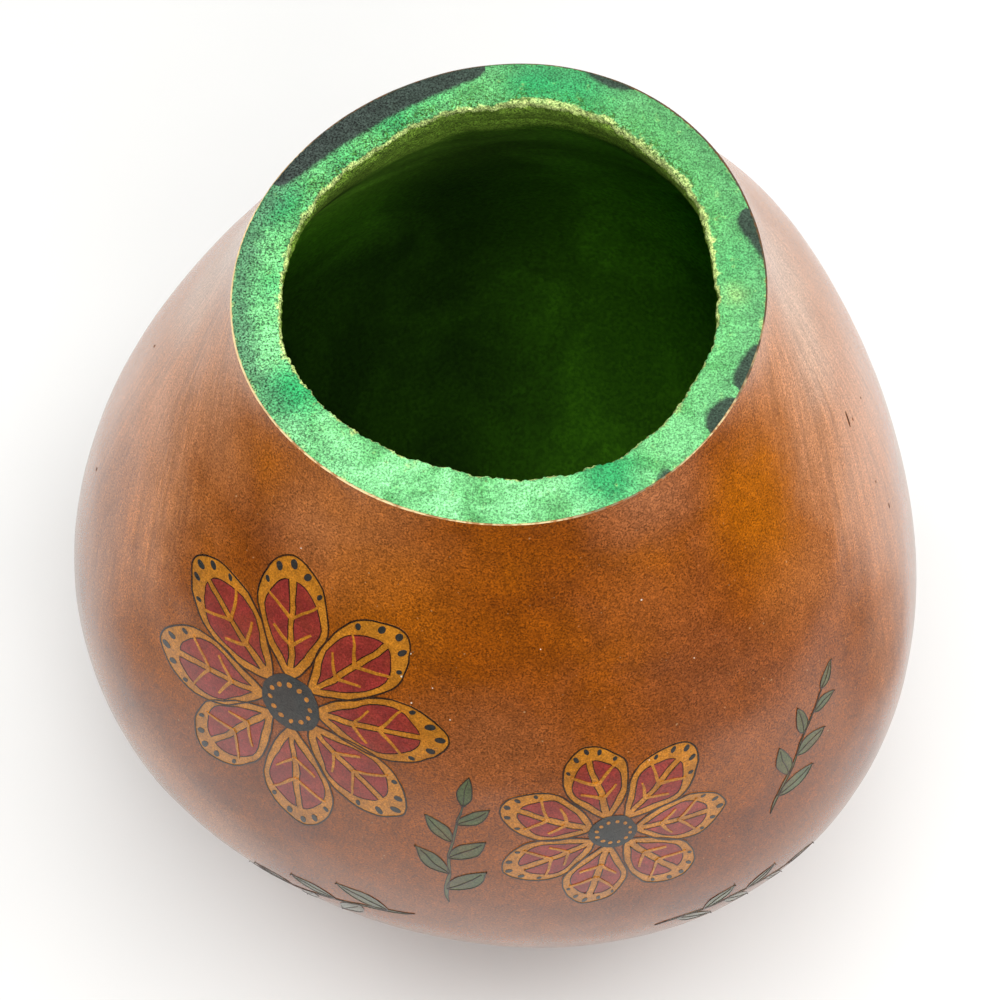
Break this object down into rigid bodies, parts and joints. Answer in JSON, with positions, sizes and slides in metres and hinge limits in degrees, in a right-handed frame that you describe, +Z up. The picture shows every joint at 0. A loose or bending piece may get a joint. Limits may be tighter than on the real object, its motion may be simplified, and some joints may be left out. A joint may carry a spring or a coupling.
{
  "type": "gourd vase",
  "caption": "Pear-shaped vase made of one dried hardshell gourd, sawn open across the neck, with a painted rim and inside, standing on a sanded flat.",
  "frame": {"origin": "middle of the object's box, at the height of the surface that it stands on", "axes": "+Z up through the mouth, -Y to the front, where the saw cut of the mouth is lowest, +X to the right of someone facing the front"},
  "size_m": [0.2008, 0.1994, 0.1922],
  "materials": {
    "stained_rind": "satin",
    "gourd_pith": "raw and porous",
    "green_rim_paint": "matte",
    "dark_interior_paint": "matte",
    "blossom_cork": "raw and corky",
    "brick_red_paint": "satin",
    "ochre_paint": "satin",
    "charcoal_paint": "satin",
    "leaf_green_paint": "satin",
    "burnt_line": "satin"
  },
  "bodies": {
    "root": {"gourd_rind": "stained_rind", "pith_wall": "gourd_pith", "rim_paint": "green_rim_paint", "interior_paint": "dark_interior_paint", "blossom_button": "blossom_cork"}
  },
  "joints": []
}
